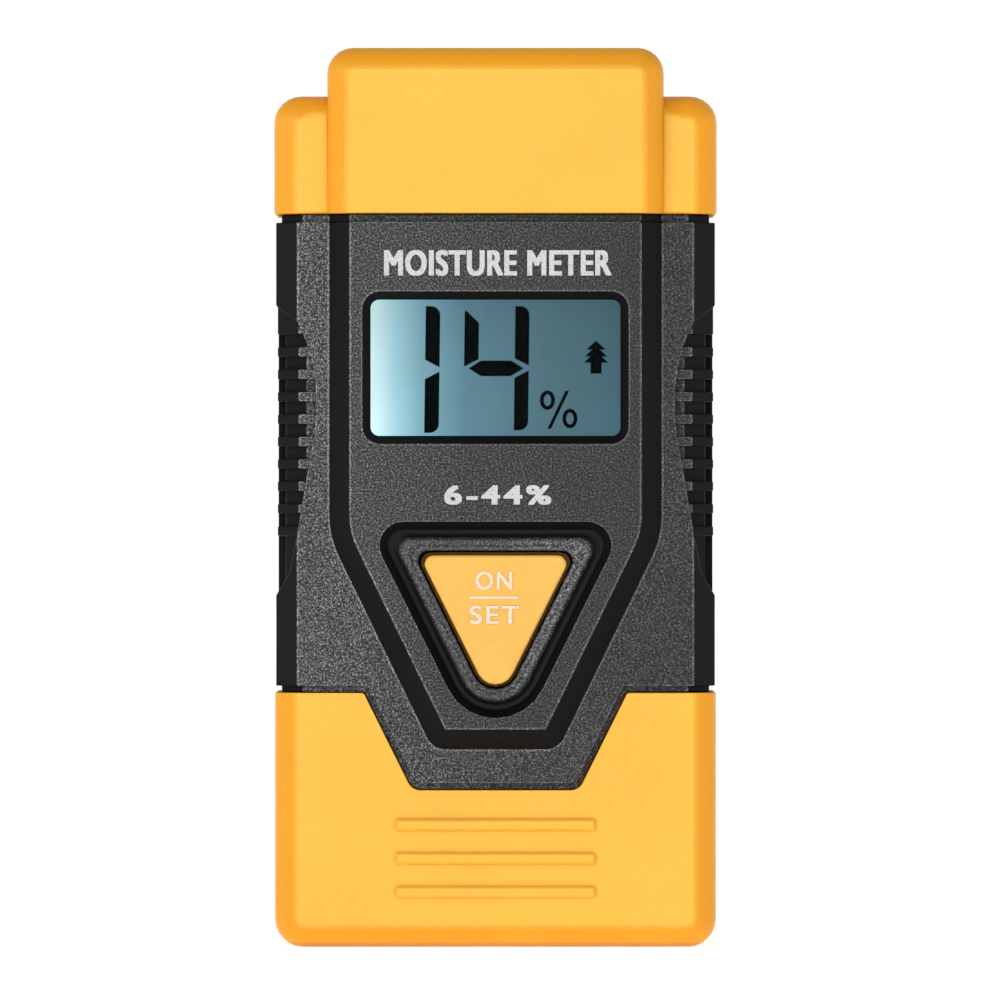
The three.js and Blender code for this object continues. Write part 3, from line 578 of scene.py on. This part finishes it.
def case_print():
    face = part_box("front_housing")[0].y
    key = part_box("set_button")[0].y
    lettering("title_print", "MOISTURE METER", (0.2, 60.85), 20.2, 2.3, face, WHITE_INK, "housing", 0.11, 1.1)
    lettering("range_print", "6-44%", (0.2, 40.25), 9.5, 1.75, face, WHITE_INK, "housing", 0.12, 1.25)
    lettering("key_print_on", "ON", (-0.15, 32.65), 3.3, 1.65, key, KEY_INK, "set_button", 0.06, 1.15)
    lettering("key_print_set", "SET", (-0.1, 29.6), 4.4, 1.65, key, KEY_INK, "set_button", 0.06, 1.15)
    bar = [(-2.35, 31.02), (2.05, 31.02), (2.05, 31.24), (-2.35, 31.24)]
    plate("key_print_bar", [bar], key - 0.03 * MM, 0.03 * MM, KEY_INK, "set_button", "label")


# ------------------------------------------------------------------ shapes added to the moulding, in mm

KEY_TOP = 34.9
KEY_APEX = 21.3  # where the sloping sides of the key would meet
KEY_SLOPE = 0.5
KEY_LEAN = math.atan(KEY_SLOPE)
KEY_TIP_RADIUS = 1.7
KEY_CORNER_RADIUS = 0.75
DISH_RIM = 2.3  # how far the dish reaches from the key
WINDOW = ((-11.9, 44.7), (11.9, 58.4))
PARTING = 1.5  # y of the joint between the halves of the housing


def key_outline(grow, steps=10):
    """The key's rounded triangle as points (x, z), moved outward by grow."""
    apex = KEY_APEX - grow / math.sin(KEY_LEAN)
    top = KEY_TOP + grow
    tip_radius = KEY_TIP_RADIUS + grow
    corner_radius = KEY_CORNER_RADIUS + 0.29 * grow
    corner_half = (math.pi / 2 - KEY_LEAN) / 2
    corner_x = (top - apex) * KEY_SLOPE - corner_radius / math.tan(corner_half)
    corner_z = top - corner_radius
    arcs = [
        ((0, apex + tip_radius / math.sin(KEY_LEAN)), tip_radius, math.pi + KEY_LEAN, 2 * math.pi - KEY_LEAN),
        ((corner_x, corner_z), corner_radius, -KEY_LEAN, math.pi / 2),
        ((-corner_x, corner_z), corner_radius, math.pi / 2, math.pi + KEY_LEAN),
    ]
    points = []
    for (x, z), radius, start, stop in arcs:
        for k in range(steps + 1):
            turn = start + (stop - start) * k / steps
            points.append((x + radius * math.cos(turn), z + radius * math.sin(turn)))
    return points


def swept_ring(name, outlines, depths, material):
    """A smooth surface through nested outlines of (x, z) points, each at its depth below the front face."""
    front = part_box("front_housing")[0].y
    mesh = bpy.data.meshes.new(name)
    shape = bmesh.new()
    rings = [
        [shape.verts.new((x * MM, front + depth * MM, z * MM)) for x, z in outline]
        for outline, depth in zip(outlines, depths)
    ]
    for outer, inner in zip(rings, rings[1:]):
        for i, corner in enumerate(outer):
            j = (i + 1) % len(outer)
            shape.faces.new((corner, outer[j], inner[j], inner[i]))
    bmesh.ops.recalc_face_normals(shape, faces=shape.faces)
    if sum(face.normal.y * face.calc_area() for face in shape.faces) > 0:
        bmesh.ops.reverse_faces(shape, faces=shape.faces)
    for face in shape.faces:
        face.smooth = True
    shape.to_mesh(mesh)
    shape.free()
    return add_piece(name, mesh, material, "housing", "black_plastic")


def key_dish():
    """The valley and the full round ridge between the panel and the key: (grow, depth below the face)."""
    profile = [
        (2.28, 1.00), (2.18, 1.05), (2.02, 1.05), (1.88, 1.03), (1.74, 0.95), (1.60, 0.80), (1.44, 0.64),
        (1.26, 0.51), (1.02, 0.43), (0.76, 0.41), (0.56, 0.45), (0.43, 0.54), (0.35, 0.67), (0.30, 0.86),
        (0.26, 1.15), (0.25, 1.60),
    ]
    outlines = [key_outline(grow) for grow, _ in profile]
    swept_ring("key_dish", outlines, [depth for _, depth in profile], RIDGE_PLASTIC)


def window_rim():
    """The smooth bevel from the panel's face down to the lens: (inset from the opening, depth, radius)."""
    profile = [
        (-0.06, 0.015, 1.66), (0.03, 0.03, 1.6), (0.12, 0.10, 1.5), (0.30, 0.32, 1.3), (0.50, 0.56, 1.1),
        (0.66, 0.72, 0.95), (0.76, 0.86, 0.84), (0.80, 1.02, 0.76),
    ]
    low, high = WINDOW
    corners = (
        (high[0], low[1], -90), (high[0], high[1], 0), (low[0], high[1], 90), (low[0], low[1], 180),
    )
    outlines = []
    for inset, _, radius in profile:
        points = []
        for x, z, start in corners:
            cx = x - math.copysign(inset + radius, x)
            cz = z - math.copysign(inset + radius, z - (low[1] + high[1]) / 2)
            for k in range(7):
                turn = math.radians(start + 15 * k)
                points.append((cx + radius * math.cos(turn), cz + radius * math.sin(turn)))
        outlines.append(points)
    swept_ring("window_rim", outlines, [depth - 0.03 for _, depth, _ in profile], LOOKS["black_plastic"])


def joint_lip():
    """The moulded lip that closes the joint between the two halves from inside."""
    strips = []
    for side in (1, -1):
        for near, far, bottom, top in ((16.7, 17.06, 24.4, 63.2), (15.7, 16.06, 63.2, 68.4)):
            x0, x1 = side * near, side * far
            strips.append([(x0, bottom), (x1, bottom), (x1, top), (x0, top)])
    lip_front = (PARTING - 0.5) * MM
    plate("joint_lip", strips, lip_front, 1.0 * MM, LOOKS["inner_plastic"], "housing", "inner_plastic")


def inside_dish(point, front):
    """Whether a point of the front housing, whose face is at y = front, lies in the dish round the key."""
    if not front + 0.3 * MM < point.y < front + 1.35 * MM:
        return False
    apex = KEY_APEX - DISH_RIM / math.sin(KEY_LEAN)
    x, z = abs(point.x) / MM, point.z / MM
    return z < KEY_TOP + DISH_RIM and x < (z - apex) * KEY_SLOPE


# ------------------------------------------------------------------ the whole scene

SHELL_EDGES = {
    "front_housing": 0.1 * MM,
    "rear_housing": 0.1 * MM,
    "pin_cap": 0.18 * MM,
    "battery_cover": 0.06 * MM,
    "set_button": 0.1 * MM,
    **{f"button_cell_{k}": 0.15 * MM for k in range(1, 5)},
}
CRISP_SHELLS = ("pin_cap", "battery_cover")
FACETED_SHELLS = ("front_housing", "rear_housing")

make_camera()
make_world(ROOM_LEVEL, CEILING_LEVEL)
make_light("key_light", (-0.50, -0.50, 0.34), (0.12, 0.12), 1.0)
make_light("front_light", (-0.15, -1.2, 0.1), (0.5, 0.5), 1.6)
make_floor(floor_look())
dress_nodes()
for shell, edge_width in SHELL_EDGES.items():
    refine(shell, edge_width, crisp=shell in CRISP_SHELLS, faceted=shell in FACETED_SHELLS)
key_dish()
window_rim()
joint_lip()
display_print()
case_print()

scene = bpy.context.scene
scene.view_settings.view_transform = "Standard"
scene.view_settings.look = "None"
